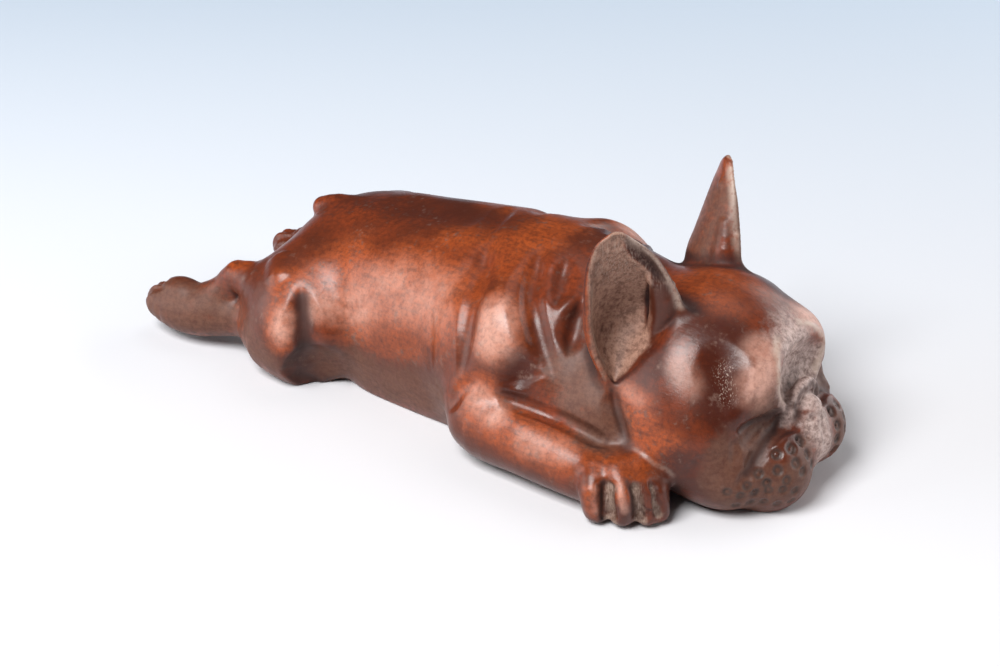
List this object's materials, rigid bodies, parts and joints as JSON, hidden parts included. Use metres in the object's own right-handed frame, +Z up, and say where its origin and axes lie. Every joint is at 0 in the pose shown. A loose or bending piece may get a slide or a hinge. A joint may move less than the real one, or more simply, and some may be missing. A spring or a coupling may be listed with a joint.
{
  "type": "animal figurine",
  "caption": "Solid carved wood figurine of a sleeping short-nosed dog, lying flat on its belly with chin on the floor and upright hollow ears.",
  "frame": {"origin": "on the flat underside of the belly, in the floor plane, below the middle of the back", "axes": "+Z up, away from the floor; +Y along the body from the nose to the stretched hind legs; +X toward the dog's left side"},
  "size_m": [0.0506, 0.106, 0.0371],
  "materials": {
    "boxwood": "stained reddish brown and polished by hand, worn orange on the high places and dull grey-brown in the carved hollows"
  },
  "bodies": {
    "root": {"dog_carving": "boxwood"}
  },
  "joints": []
}
